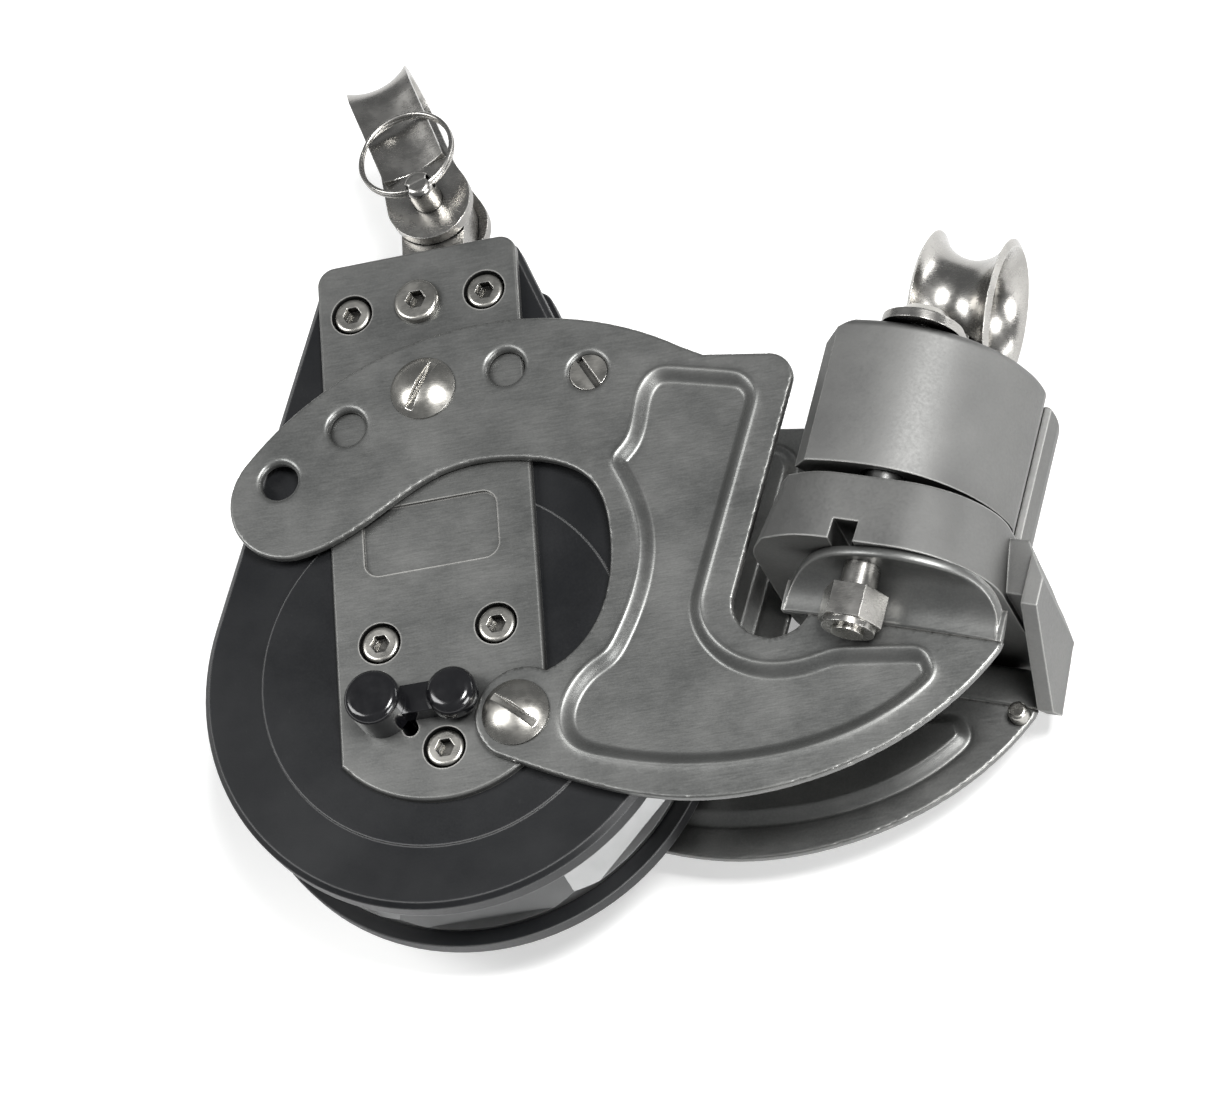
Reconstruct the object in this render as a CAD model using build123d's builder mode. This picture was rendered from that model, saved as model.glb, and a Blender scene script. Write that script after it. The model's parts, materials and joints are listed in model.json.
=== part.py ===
from build123d import *
import os
from math import cos, sin, radians

os.makedirs("parts", exist_ok=True)

# A ratchet block lying on its side, with an adjustable arm that carries a cam cleat.
# The origin is the sheave centre, +Z runs along the sheave axis to the switch side,
# +Y points to the shackle and +X to the cleat. All sizes are in millimetres.

# Driving dimensions of the block
sheave_d = 75.0
sheave_w = 15.4
groove_facets = 8
groove_apothem = 31.5
cheek_r = 40.0
cheek_t = 4.3
cheek_step = 0.4
cheek_step_r = 30.0
gap_half = 8.0
strap_t = 1.5
strap_w = 34.0
head_top = 73.0
head_w = 34.4
head_screw_at = (11.3, 63.6)
lock_at = (0.0, 63.6)
hub_screw_at = [(-9.6, 4.8), (9.6, 4.8), (0.0, -14.5)]
hub_r = 17.2
lock_r = 2.4
screw_r = 2.0
screw_head_r = 3.2
screw_sink = 1.2
shoulder_r = 3.0

# Driving dimensions of the arm, whose angle is set by screws in five holes
pivot_at = (12.3, -11.5)
index_r = 59.7
index_step = 13.4
index_first = 128.2
index_hole_r = 3.1
arm_t = 1.6
arm_gap = 0.1
emboss_d = 1.2

# Driving dimensions of the cleat
cleat_tilt = 19.0
cam_u = 65.8
cam_z = 20.0
base_low = 25.0
base_high = 36.5
cam_low = 38.0
cam_high = 62.5
fold_w = 16.2
fold_r = 7.2
eye_u = 66.2
eye_w = 76.2
eye_r = 7.1
eye_len = 13.8

# Driving dimensions of the head
pin_at = (0.7, 86.4)
pin_r = 2.5
shackle_lean = 18.0
fit = 0.05

# Levels along Z
cheek_out = gap_half + cheek_t
strap_out = cheek_out + strap_t
arm_in = strap_out + arm_gap
arm_out = arm_in + arm_t

# Directions of the cleat: u runs with the rope, w runs up the cam axes
u_dir = Vector(cos(radians(cleat_tilt)), -sin(radians(cleat_tilt)), 0)
w_dir = Vector(sin(radians(cleat_tilt)), cos(radians(cleat_tilt)), 0)
cleat_side = Plane(origin=(0, 0, 0), x_dir=u_dir, z_dir=(0, 0, 1))


def level(w):
    """A plane across the cam axes at height w: its own x is u, its y is +Z, and it extrudes downwards."""
    return Plane(origin=w_dir * w, x_dir=u_dir, z_dir=w_dir * -1)


def about(centre, radius, angle):
    """The point at an angle and radius about a centre, in plan."""
    return (centre[0] + radius * cos(radians(angle)), centre[1] + radius * sin(radians(angle)))


index_holes = [about(pivot_at, index_r, index_first - index_step * n) for n in range(4)]
lock_hole = index_holes[2]
tie_hole = (27.9, 44.7)

# ---------------------------------------------------------------- cheeks
switch_at = (2.6, -6.8)
switch_pin_r = 8.7
switch_throw = 25.0
switch_stem_r = 2.2
switch_slot_w = 2.6
slot_arc = CenterArc(switch_at, switch_pin_r, 180, switch_throw)
tie_sleeve_r = 3.6

with BuildPart() as cheek_blank:
    with BuildSketch(Plane.XY.offset(gap_half)):
        Circle(cheek_r)
        with Locations((3 - head_w / 2, head_top - 3), (head_w / 2 - 3, head_top - 3)):
            Circle(3)
        make_hull()
        with Locations(tie_hole):
            Circle(tie_sleeve_r + 0.3, mode=Mode.SUBTRACT)
    extrude(amount=cheek_t - cheek_step)
    chamfer(cheek_blank.faces().sort_by(Axis.Z)[-1].outer_wire().edges(), length=0.9)
    with BuildSketch(Plane.XY.offset(cheek_out - cheek_step)):
        Circle(cheek_step_r)
        with Locations((0, head_top / 2 - 1)):
            Rectangle(strap_w - 1, head_top - 4)
    extrude(amount=cheek_step)
    with BuildSketch(Plane.XY.offset(gap_half)):
        with Locations(*hub_screw_at):
            Circle(screw_r + fit)
        with Locations(head_screw_at, (-head_screw_at[0], head_screw_at[1])):
            Circle(screw_r + fit)
        with Locations(lock_hole, pivot_at):
            Circle(shoulder_r + fit)
        with Locations(lock_at):
            Circle(lock_r + fit)
    extrude(amount=cheek_t, mode=Mode.SUBTRACT)
    with BuildSketch(Plane.XY.offset(cheek_out)):
        with Locations(*hub_screw_at):
            Circle(screw_head_r + 0.3)
        with Locations(head_screw_at, (-head_screw_at[0], head_screw_at[1])):
            Circle(screw_head_r + 0.3)
    extrude(amount=-screw_sink, mode=Mode.SUBTRACT)

with BuildPart() as near_cheek:
    add(cheek_blank.part)
    with BuildSketch(Plane.XY.offset(gap_half)):
        with Locations(switch_at):
            Circle(switch_stem_r + fit)
        SlotArc(slot_arc, switch_slot_w)
    extrude(amount=cheek_t, mode=Mode.SUBTRACT)
near_cheek.part.label = "near_cheek"
export_step(near_cheek.part, "parts/near_cheek.step")

with BuildPart() as far_cheek:
    mirror(cheek_blank.part, about=Plane.XY)
far_cheek.part.label = "far_cheek"
export_step(far_cheek.part, "parts/far_cheek.step")

# ---------------------------------------------------------------- head straps
strap_foot_r = 21.8
strap_foot_y = -1.2
recess_at = (-0.2, 22.2)
recess_deep = 0.6

with BuildPart() as strap_blank:
    with BuildSketch(Plane.XY.offset(cheek_out)) as strap_plan:
        with Locations((0, (head_top + strap_foot_y) / 2)):
            Rectangle(strap_w, head_top - strap_foot_y)
        with Locations((0, strap_foot_y)):
            Circle(strap_foot_r)
        with Locations((0, head_top / 2)):
            Rectangle(strap_w, 2 * head_top, mode=Mode.INTERSECT)
        fillet(strap_plan.vertices().group_by(Axis.Y)[-1], radius=3)
    extrude(amount=strap_t)
    fillet(strap_blank.faces().sort_by(Axis.Z)[-1].outer_wire().edges(), radius=0.5)
    with BuildSketch(Plane.XY.offset(cheek_out)):
        with Locations(*hub_screw_at):
            Circle(screw_head_r + 0.3)
        with Locations(head_screw_at, (-head_screw_at[0], head_screw_at[1])):
            Circle(screw_head_r + 0.3)
        with Locations(lock_hole, pivot_at):
            Circle(shoulder_r + fit)
        with Locations(lock_at):
            Circle(lock_r + fit)
    extrude(amount=strap_t, mode=Mode.SUBTRACT)

with BuildPart() as near_strap:
    add(strap_blank.part)
    with BuildSketch(Plane.XY.offset(strap_out)):
        with Locations(recess_at):
            RectangleRounded(22.4, 11.6, 2.5)
    extrude(amount=-recess_deep, mode=Mode.SUBTRACT)
    with BuildSketch(Plane.XY.offset(cheek_out)):
        with Locations(switch_at):
            Circle(switch_stem_r + fit)
        SlotArc(slot_arc, switch_slot_w)
    extrude(amount=strap_t, mode=Mode.SUBTRACT)
near_strap.part.label = "near_strap"
export_step(near_strap.part, "parts/near_strap.step")

with BuildPart() as far_strap:
    mirror(strap_blank.part, about=Plane.XY)
far_strap.part.label = "far_strap"
export_step(far_strap.part, "parts/far_strap.step")

# ---------------------------------------------------------------- head block and swivel
post_r = 4.0
post_head_r = 6.0
post_low = 58.5
post_head_t = 2.5
collar_r = 6.4
collar_top = 75.2
eye_half = 3.7
eye_out_r = 5.6
across_y = Plane(origin=(0, 0, 0), x_dir=(1, 0, 0), z_dir=(0, 1, 0))

with BuildPart() as head_block:
    with BuildSketch(Plane.XY.offset(-gap_half)) as head_plan:
        with Locations((0, (head_top + 54) / 2)):
            Rectangle(head_w - 4, head_top - 54)
        fillet(head_plan.vertices(), radius=2)
    extrude(amount=2 * gap_half)
    with BuildSketch(across_y.offset(50)):
        Circle(post_r + fit)
    extrude(amount=30, mode=Mode.SUBTRACT)
    with BuildSketch(across_y.offset(50)):
        Circle(post_head_r + fit)
    extrude(amount=post_low + post_head_t + fit - 50, mode=Mode.SUBTRACT)
    with BuildSketch(Plane.XY.offset(-gap_half)):
        with Locations(head_screw_at, (-head_screw_at[0], head_screw_at[1])):
            Circle(screw_r + fit)
    extrude(amount=2 * gap_half, mode=Mode.SUBTRACT)
    with BuildSketch(Plane.XY.offset(gap_half)):
        with Locations(lock_at):
            Circle(lock_r + fit)
    extrude(amount=-(gap_half - post_r), mode=Mode.SUBTRACT)
head_block.part.label = "head_block"
export_step(head_block.part, "parts/head_block.step")

with BuildPart() as swivel_post:
    with BuildSketch(across_y.offset(post_low)):
        Circle(post_head_r)
    extrude(amount=post_head_t)
    with BuildSketch(across_y.offset(post_low)):
        Circle(post_r)
    extrude(amount=head_top - post_low + 1)
    with BuildSketch(across_y.offset(head_top + 0.2)):
        Circle(collar_r)
    extrude(amount=collar_top - head_top - 0.2)
    with BuildSketch(Plane.XY.offset(-eye_half)):
        with Locations(pin_at):
            Circle(eye_out_r)
        with Locations((0, collar_top)):
            Rectangle(2 * eye_out_r - 1, 2 * (collar_top - head_top) - 0.6)
        make_hull()
    extrude(amount=2 * eye_half)
    with BuildSketch(Plane.XY.offset(-eye_half)):
        with Locations(pin_at):
            Circle(pin_r + fit)
    extrude(amount=2 * eye_half, mode=Mode.SUBTRACT)
swivel_post.part.label = "swivel_post"
export_step(swivel_post.part, "parts/swivel_post.step")

with BuildPart() as swivel_ring:
    with BuildSketch(across_y.offset(head_top + 0.2)):
        Circle(collar_r + 1.2)
        Circle(collar_r, mode=Mode.SUBTRACT)
    extrude(amount=1.2)
    fillet(swivel_ring.faces().sort_by(Axis.Y)[-1].outer_wire().edges(), radius=0.5)
swivel_ring.part.label = "swivel_ring"
export_step(swivel_ring.part, "parts/swivel_ring.step")

# ---------------------------------------------------------------- screws of the block
screw_head_low = cheek_out - screw_sink + 0.1
screw_far = -strap_out + 0.2


def socket_screws(places, socket_r):
    """Screws with a sunk socket head on the near side and a plain end flush with the far strap."""
    with BuildPart() as screws:
        with BuildSketch(Plane.XY.offset(screw_far)):
            with Locations(*places):
                Circle(screw_r)
        extrude(amount=screw_head_low - screw_far)
        with BuildSketch(Plane.XY.offset(screw_head_low)):
            with Locations(*places):
                Circle(screw_head_r)
        extrude(amount=strap_out - 0.1 - screw_head_low)
        fillet(screws.faces().group_by(Axis.Z)[-1].edges(), radius=0.8)
        with BuildSketch(Plane.XY.offset(strap_out)):
            with Locations(*places):
                RegularPolygon(socket_r, 6)
        extrude(amount=-1.7, mode=Mode.SUBTRACT)
    return screws.part


hub_screws = socket_screws(hub_screw_at, 1.6)
hub_screws.label = "hub_screws"
export_step(hub_screws, "parts/hub_screws.step")

head_screws = socket_screws([head_screw_at, (-head_screw_at[0], head_screw_at[1])], 1.6)
head_screws.label = "head_screws"
export_step(head_screws, "parts/head_screws.step")

lock_head_r = 3.8
lock_head_t = 1.3
with BuildPart() as swivel_lock_screw:
    with BuildSketch(Plane.XY.offset(post_r + 0.4)):
        with Locations(lock_at):
            Circle(lock_r)
    extrude(amount=strap_out - post_r - 0.4)
    with BuildSketch(Plane.XY.offset(strap_out)):
        with Locations(lock_at):
            Circle(lock_head_r)
    extrude(amount=lock_head_t)
    fillet(swivel_lock_screw.faces().sort_by(Axis.Z)[-1].edges(), radius=0.7)
    with BuildSketch(Plane.XY.offset(strap_out + lock_head_t)):
        with Locations(lock_at):
            RegularPolygon(1.7, 6)
    extrude(amount=-1.7, mode=Mode.SUBTRACT)
swivel_lock_screw.part.label = "swivel_lock_screw"
export_step(swivel_lock_screw.part, "parts/swivel_lock_screw.step")

# ---------------------------------------------------------------- hub, balls and pawl
ball_r = 1.6
ball_count = 30
ball_z = -3.6
bore_r = hub_r + 2 * ball_r + 0.2
pawl_at = (-10.8, -9.2)
pawl_pin_r = 1.2
pawl_len = 12.4
pawl_throw = 8.0
pawl_angle = 143.5 - pawl_throw
pocket_z = 1.0

with BuildPart() as hub_core:
    with BuildSketch(Plane.XY.offset(-gap_half)):
        Circle(hub_r)
        with Locations(*hub_screw_at):
            Circle(screw_r + fit, mode=Mode.SUBTRACT)
    extrude(amount=2 * gap_half)
    with BuildSketch(Plane.XY.offset(pocket_z)):
        with Locations((-11.3, -5.8)):
            Rectangle(17.4, 15)
        with Locations(hub_screw_at[0]):
            Circle(3.2, mode=Mode.SUBTRACT)
    extrude(amount=gap_half - pocket_z, mode=Mode.SUBTRACT)
    with BuildSketch(Plane.XY.offset(pocket_z)):
        with Locations(pawl_at):
            Circle(pawl_pin_r)
    extrude(amount=-4, mode=Mode.SUBTRACT)
hub_core.part.label = "hub_core"
export_step(hub_core.part, "parts/hub_core.step")

with BuildPart(Plane.XY.offset(ball_z)) as sheave_balls:
    with PolarLocations(hub_r + ball_r + 0.1, ball_count):
        Sphere(ball_r)
sheave_balls.part.label = "sheave_balls"
export_step(sheave_balls.part, "parts/sheave_balls.step")

with BuildPart() as pawl_pin:
    with BuildSketch(Plane.XY.offset(pocket_z - 4)):
        with Locations(pawl_at):
            Circle(pawl_pin_r)
    extrude(amount=gap_half - pocket_z + 4)
pawl_pin.part.label = "pawl_pin"
export_step(pawl_pin.part, "parts/pawl_pin.step")

pawl_tip = about(pawl_at, pawl_len - 0.7, pawl_angle)
pawl_nub = about(pawl_at, 2.2, 10)
with BuildPart() as ratchet_pawl:
    with BuildSketch(Plane.XY.offset(pocket_z + 0.2)):
        with Locations(pawl_at):
            Circle(2.5)
        with Locations(pawl_tip):
            Circle(0.7)
        with Locations(pawl_nub):
            Circle(1.3)
        make_hull()
        with Locations(pawl_at):
            Circle(pawl_pin_r + fit, mode=Mode.SUBTRACT)
    extrude(amount=3.0)
ratchet_pawl.part.label = "ratchet_pawl"
export_step(ratchet_pawl.part, "parts/ratchet_pawl.step")

with BuildPart() as pawl_spring:
    with BuildLine():
        coil = Helix(0.7, 2.8, 1.9, center=(pawl_at[0], pawl_at[1], pocket_z + 3.6))
    with BuildSketch(Plane(origin=coil @ 0, z_dir=coil % 0)):
        Circle(0.25)
    sweep(path=coil)
pawl_spring.part.label = "pawl_spring"
export_step(pawl_spring.part, "parts/pawl_spring.step")

# ---------------------------------------------------------------- sheave
ring_r = 24.5
tooth_tip_r = 21.3
tooth_root_r = 22.9
tooth_count = 28
flange_z = 6.7
groove_taper = -33.9

with BuildPart() as sheave:
    for side in (1, -1):
        with BuildSketch(Plane.XY.offset(0)):
            RegularPolygon(groove_apothem, groove_facets, major_radius=False, rotation=22.5)
        extrude(amount=side * flange_z, taper=groove_taper)
        with BuildSketch(Plane.XY.offset(side * flange_z)):
            Circle(sheave_d / 2)
        extrude(amount=side * (sheave_w / 2 - flange_z))
    with BuildSketch(Plane.XY.offset(-sheave_w / 2)):
        Circle(sheave_d / 2)
    extrude(amount=sheave_w, mode=Mode.INTERSECT)
    with BuildSketch(Plane.XY.offset(-sheave_w / 2)):
        Circle(bore_r)
    extrude(amount=sheave_w, mode=Mode.SUBTRACT)
    with BuildSketch(Plane.XY.offset(sheave_w / 2)):
        Circle(ring_r)
    extrude(amount=pocket_z - sheave_w / 2, mode=Mode.SUBTRACT)
sheave.part.label = "sheave"
export_step(sheave.part, "parts/sheave.step")

with BuildPart() as ratchet_ring:
    with BuildSketch(Plane.XY.offset(pocket_z)):
        Circle(ring_r)
        Circle(tooth_root_r, mode=Mode.SUBTRACT)
        with PolarLocations(tooth_root_r, tooth_count):
            Polygon((0.4, -1.1), (0.4, 1.1), (tooth_tip_r - tooth_root_r, 0.9), align=None)
    extrude(amount=6.2)
ratchet_ring.part.label = "ratchet_ring"
export_step(ratchet_ring.part, "parts/ratchet_ring.step")

# ---------------------------------------------------------------- ratchet switch
knob_at = about(switch_at, 12.1, 180)
knob_top = 21.2
lobe_r = 4.1
lobe_top = 18.8
lobe_low = arm_out + 0.4
lever_w = 4.8
lever_t = 3.2
lever_low = strap_out + 0.1
with BuildPart() as ratchet_switch:
    with BuildSketch(Plane.XY.offset(lever_low)):
        with Locations(switch_at):
            Circle(3.4)
    extrude(amount=lobe_low - lever_low)
    with BuildSketch(Plane.XY.offset(lobe_low)):
        with Locations(switch_at):
            Circle(lobe_r)
    extrude(amount=lobe_top - lobe_low)
    fillet(ratchet_switch.faces().sort_by(Axis.Z)[-1].edges(), radius=1.8)
    with BuildSketch(Plane.XY.offset(lever_low)):
        with Locations(knob_at):
            Circle(4.5)
    extrude(amount=knob_top - lever_low)
    fillet(ratchet_switch.faces().sort_by(Axis.Z)[-1].edges(), radius=1.3)
    with BuildSketch(Plane.XY.offset(lever_low)):
        with Locations(((switch_at[0] + knob_at[0]) / 2, switch_at[1])):
            Rectangle(switch_at[0] - knob_at[0], lever_w)
    extrude(amount=lever_t)
    with BuildSketch(Plane.XY.offset(gap_half + 0.1)):
        with Locations(switch_at):
            Circle(switch_stem_r)
    extrude(amount=lever_low - gap_half)
    with BuildSketch(Plane.XY.offset(pocket_z + 3.6)):
        with Locations(about(switch_at, switch_pin_r, 180)):
            Circle(1.0)
    extrude(amount=lever_low - pocket_z - 3)
ratchet_switch.part.label = "ratchet_switch"
export_step(ratchet_switch.part, "parts/ratchet_switch.step")

# ---------------------------------------------------------------- shackle, pin and ring
lean_x = Vector(cos(radians(shackle_lean)), sin(radians(shackle_lean)), 0)
lean_y = Vector(-sin(radians(shackle_lean)), cos(radians(shackle_lean)), 0)
pin_centre = Vector(pin_at[0], pin_at[1], 0)
leg_z = 5.2
leg_len = 20.8
band_w = 11.0
band_t = 2.2
lug_r = 7.2
pin_end = 12.6
band_start = 6.0
pin_grip = 6.4
pin_head_t = 2.0
ring_hole_z = 11.2
ring_mean_r = 7.6
wire_r = 0.8
ring_tilt = 9.0
bow_plane = Plane(origin=pin_centre, x_dir=(0, 0, 1), z_dir=lean_x * -1)
lug_plane = Plane(origin=pin_centre, x_dir=lean_x, z_dir=(0, 0, 1))

with BuildPart() as shackle:
    with BuildLine(bow_plane) as bow_path:
        Line((leg_z, band_start), (leg_z, leg_len))
        CenterArc((0, leg_len), leg_z, 0, 180)
        Line((-leg_z, leg_len), (-leg_z, band_start))
    band_foot = pin_centre + Vector(0, 0, leg_z) + lean_y * band_start
    with BuildSketch(Plane(origin=band_foot, x_dir=lean_x, z_dir=lean_y)):
        with BuildLine():
            inner = ThreePointArc((-band_w / 2, -0.9), (0, band_t / 2), (band_w / 2, -0.9))
            outer = ThreePointArc((-band_w / 2, -2.7), (0, -band_t / 2), (band_w / 2, -2.7))
            Line(inner @ 0, outer @ 0)
            Line(inner @ 1, outer @ 1)
        make_face()
    sweep(path=bow_path.wire())
    for side in (1, -1):
        with BuildSketch(lug_plane.offset(side * (leg_z - band_t / 2))):
            Circle(lug_r)
            with Locations((0.1 - band_w / 2, 9), (band_w / 2 - 0.1, 9)):
                Circle(0.1)
            make_hull()
        extrude(amount=side * band_t)
    with BuildSketch(lug_plane.offset(-20)):
        Circle(pin_r + fit)
    extrude(amount=40, mode=Mode.SUBTRACT)
shackle.part.label = "shackle"
export_step(shackle.part, "parts/shackle.step")

with BuildPart() as clevis_pin:
    with BuildSketch(lug_plane.offset(-pin_grip - pin_head_t)):
        Circle(4.0)
    extrude(amount=pin_head_t)
    fillet(clevis_pin.faces().sort_by(Axis.Z)[0].edges(), radius=0.7)
    with BuildSketch(lug_plane.offset(-pin_grip)):
        Circle(pin_r)
    extrude(amount=pin_grip + pin_end)
    fillet(clevis_pin.faces().sort_by(Axis.Z)[-1].edges(), radius=1.2)
    with BuildSketch(Plane(origin=pin_centre + Vector(0, 0, ring_hole_z) - lean_x * 5, z_dir=lean_x)):
        Circle(wire_r + 0.55)
    extrude(amount=10, mode=Mode.SUBTRACT)
clevis_pin.part.label = "clevis_pin"
export_step(clevis_pin.part, "parts/clevis_pin.step")

ring_dir = lean_y * cos(radians(ring_tilt)) - Vector(0, 0, sin(radians(ring_tilt)))
ring_centre = pin_centre + Vector(0, 0, ring_hole_z) + ring_dir * ring_mean_r
with BuildPart(Plane(origin=ring_centre, x_dir=lean_x, z_dir=lean_x.cross(ring_dir))) as cotter_ring:
    Torus(ring_mean_r, wire_r)
cotter_ring.part.label = "cotter_ring"
export_step(cotter_ring.part, "parts/cotter_ring.step")

# ---------------------------------------------------------------- arms
tail_centre = (-22.6, 32.0)
tail_r = 10.5
arm_tip_u = 88.6
notch_u = 57.6
fold_tip = u_dir * arm_tip_u + w_dir * fold_w
fold_root = u_dir * notch_u + w_dir * fold_w
stud_at = (86.2, -14.2)
stud_r = 1.6
stud_t = 2.8
stud_peg_r = 1.3
flange_u = 70.6
flange_half = 17.9
flange_deep = 11.4
flange_r = (flange_half**2 + flange_deep**2) / (2 * flange_deep)
cam_screw_r = 2.5
fold_plane = Plane(origin=u_dir * arm_tip_u, x_dir=(0, 0, 1), z_dir=u_dir * -1)

with BuildPart() as flange:
    with BuildSketch(fold_plane):
        with BuildLine():
            Line((arm_in, fold_w), (arm_out, fold_w))
            inside = CenterArc((arm_out + fold_r, fold_w), fold_r, 180, -90)
            lip = Line(inside @ 1, (arm_out + 14, fold_w + fold_r))
            rim = Line(lip @ 1, (arm_out + 14, fold_w + fold_r + arm_t))
            Line(rim @ 1, (arm_out + fold_r, fold_w + fold_r + arm_t))
            CenterArc((arm_out + fold_r, fold_w), fold_r + arm_t, 90, 90)
        make_face()
    extrude(amount=2 * flange_half)
    with BuildSketch(level(40)):
        with Locations((flange_u, arm_in + flange_deep - flange_r)):
            Circle(flange_r)
    extrude(amount=30, mode=Mode.INTERSECT)

with BuildSketch(Plane.XY.offset(arm_in)) as arm_plan:
    with BuildLine():
        top = ThreePointArc((43.4, 46.0), (-1.0, 55.6), about(tail_centre, tail_r, 137))
        tail = ThreePointArc(top @ 1, about(tail_centre, tail_r, 200), about(tail_centre, tail_r, 270))
        inner_edge = Spline(
            tail @ 1, (-11.2, 25.0), (2.6, 31.8), (16.5, 31.6), (26.8, 26.0), (29.4, 16.0), (25.0, 0.0),
            (17.6, -5.2),
        )
        lug = ThreePointArc(inner_edge @ 1, about(pivot_at, 6.7, 170), (8.4, -17.6))
        belly = Spline(lug @ 1, (20.3, -23.9), (37.3, -30.0), (56.1, -30.4), (75.3, -24.4), (88.4, -14.6))
        Line(belly @ 1, (fold_tip.X, fold_tip.Y))
        Line((fold_tip.X, fold_tip.Y), (fold_root.X, fold_root.Y))
        notch = ThreePointArc((fold_root.X, fold_root.Y), (53.3, -6.2), (48.1, 1.4))
        wall_edge = Line(notch @ 1, (60.8, 36.8))
        corner = ThreePointArc(wall_edge @ 1, (60.1, 40.3), (56.8, 42.1))
        Polyline(corner @ 1, (46.8, 43.9), top @ 0)
    make_face()
    with Locations(*index_holes, tie_hole):
        Circle(index_hole_r, mode=Mode.SUBTRACT)
    with Locations(pivot_at):
        Circle(shoulder_r + fit, mode=Mode.SUBTRACT)

with BuildSketch() as emboss_plan:
    with BuildLine():
        crown = Spline((39.6, 42.6), (36.8, 40.4), (35.3, 35.6), (30.8, 28.9))
        waist_edge = Spline(crown @ 1, (33.7, 21.7), (34.8, 14.5), (33.0, 5.5), (27.7, -4.6))
        heel = Spline(waist_edge @ 1, (20.9, -10.0), (19.7, -14.4), (22.9, -19.4))
        sole = Spline(heel @ 1, (31.5, -22.5), (50.2, -25.1), (69.2, -21.7), (78.0, -16.6))
        toe = Line(sole @ 1, (76.9, -12.7))
        instep = Line(toe @ 1, (62.8, -10.5))
        throat = Spline(instep @ 1, (57.4, -11.5), (51.3, -10.7), (44.3, -5.4), (42.4, 2.2))
        shin = Line(throat @ 1, (54.6, 35.8))
        Polyline(shin @ 1, (52.8, 38.9), crown @ 0)
    make_face()

with BuildPart() as near_arm:
    add(arm_plan.sketch)
    extrude(amount=arm_t)
    add(flange.part)
    with BuildSketch(Plane.XY.offset(arm_in)):
        add(emboss_plan.sketch)
    extrude(amount=-emboss_d)
    with BuildSketch(Plane.XY.offset(arm_out)):
        add(emboss_plan.sketch)
    extrude(amount=-emboss_d, mode=Mode.SUBTRACT)
    with BuildSketch(level(40)):
        with Locations((cam_u, cam_z)):
            Circle(cam_screw_r + fit)
    extrude(amount=30, mode=Mode.SUBTRACT)
near_arm.part.label = "near_arm"
export_step(near_arm.part, "parts/near_arm.step")

with BuildPart() as far_arm:
    mirror(near_arm.part, about=Plane.XY)
    with BuildSketch(Plane.XY.offset(-arm_out)):
        with Locations(stud_at):
            Circle(stud_peg_r + fit)
    extrude(amount=arm_t, mode=Mode.SUBTRACT)
far_arm.part.label = "far_arm"
export_step(far_arm.part, "parts/far_arm.step")

# ---------------------------------------------------------------- arm fasteners
dome_r = 5.4
dome_t = 2.3
dome_ball_r = 8.2
dome_slot_w = 1.3
dome_slot_deep = 1.3
tie_sink = 0.5


def slotted_dome(at, low, shank_r, shank_end, slot_angle):
    """A domed screw with a slot: its head sits on the level low and its shank runs down to shank_end."""
    with BuildPart() as screw:
        with BuildSketch(Plane.XY.offset(low)):
            with Locations(at):
                Circle(dome_r)
        extrude(amount=dome_t)
        with Locations((at[0], at[1], low + dome_t - dome_ball_r)):
            Sphere(dome_ball_r, mode=Mode.INTERSECT)
        with BuildSketch(Plane.XY.offset(low + dome_t)):
            with Locations(Location((at[0], at[1]), slot_angle)):
                Rectangle(2 * dome_r, dome_slot_w)
        extrude(amount=-dome_slot_deep, mode=Mode.SUBTRACT)
        with BuildSketch(Plane.XY.offset(shank_end)):
            with Locations(at):
                Circle(shank_r)
        extrude(amount=low - shank_end)
    return screw.part


near_pivot_screw = slotted_dome(pivot_at, arm_out + 0.1, shoulder_r, gap_half + 0.2, -42)
with BuildPart() as arm_pivot_screws:
    add(near_pivot_screw)
    mirror(near_pivot_screw, about=Plane.XY)
arm_pivot_screws.part.label = "arm_pivot_screws"
export_step(arm_pivot_screws.part, "parts/arm_pivot_screws.step")

near_lock_screw = slotted_dome(lock_hole, arm_out, index_hole_r, arm_in + 0.05, 58)
with BuildPart() as arm_lock_screws:
    add(near_lock_screw)
    mirror(near_lock_screw, about=Plane.XY)
arm_lock_screws.part.label = "arm_lock_screws"
export_step(arm_lock_screws.part, "parts/arm_lock_screws.step")

with BuildPart() as arm_tie_bolt:
    with BuildSketch(Plane.XY.offset(-arm_in)):
        with Locations(tie_hole):
            Circle(tie_sleeve_r)
    extrude(amount=2 * arm_in)
    with BuildSketch(Plane.XY.offset(tie_sink - arm_out)):
        with Locations(tie_hole):
            Circle(index_hole_r)
    extrude(amount=2 * (arm_out - tie_sink))
    for side in (1, -1):
        with BuildSketch(Plane.XY.offset(side * (arm_out - tie_sink))):
            with Locations(Location(tie_hole, -62)):
                Rectangle(2 * index_hole_r + 1, 1.1)
        extrude(amount=-side * 0.9, mode=Mode.SUBTRACT)
arm_tie_bolt.part.label = "arm_tie_bolt"
export_step(arm_tie_bolt.part, "parts/arm_tie_bolt.step")

with BuildPart() as tip_stud:
    with BuildSketch(Plane.XY.offset(-arm_in)):
        with Locations(stud_at):
            Circle(stud_r)
    extrude(amount=stud_t)
    fillet(tip_stud.faces().sort_by(Axis.Z)[-1].edges(), radius=0.6)
    with BuildSketch(Plane.XY.offset(-arm_out - 0.4)):
        with Locations(stud_at):
            Circle(stud_peg_r)
    extrude(amount=arm_t + 0.4)
tip_stud.part.label = "tip_stud"
export_step(tip_stud.part, "parts/tip_stud.step")

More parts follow.
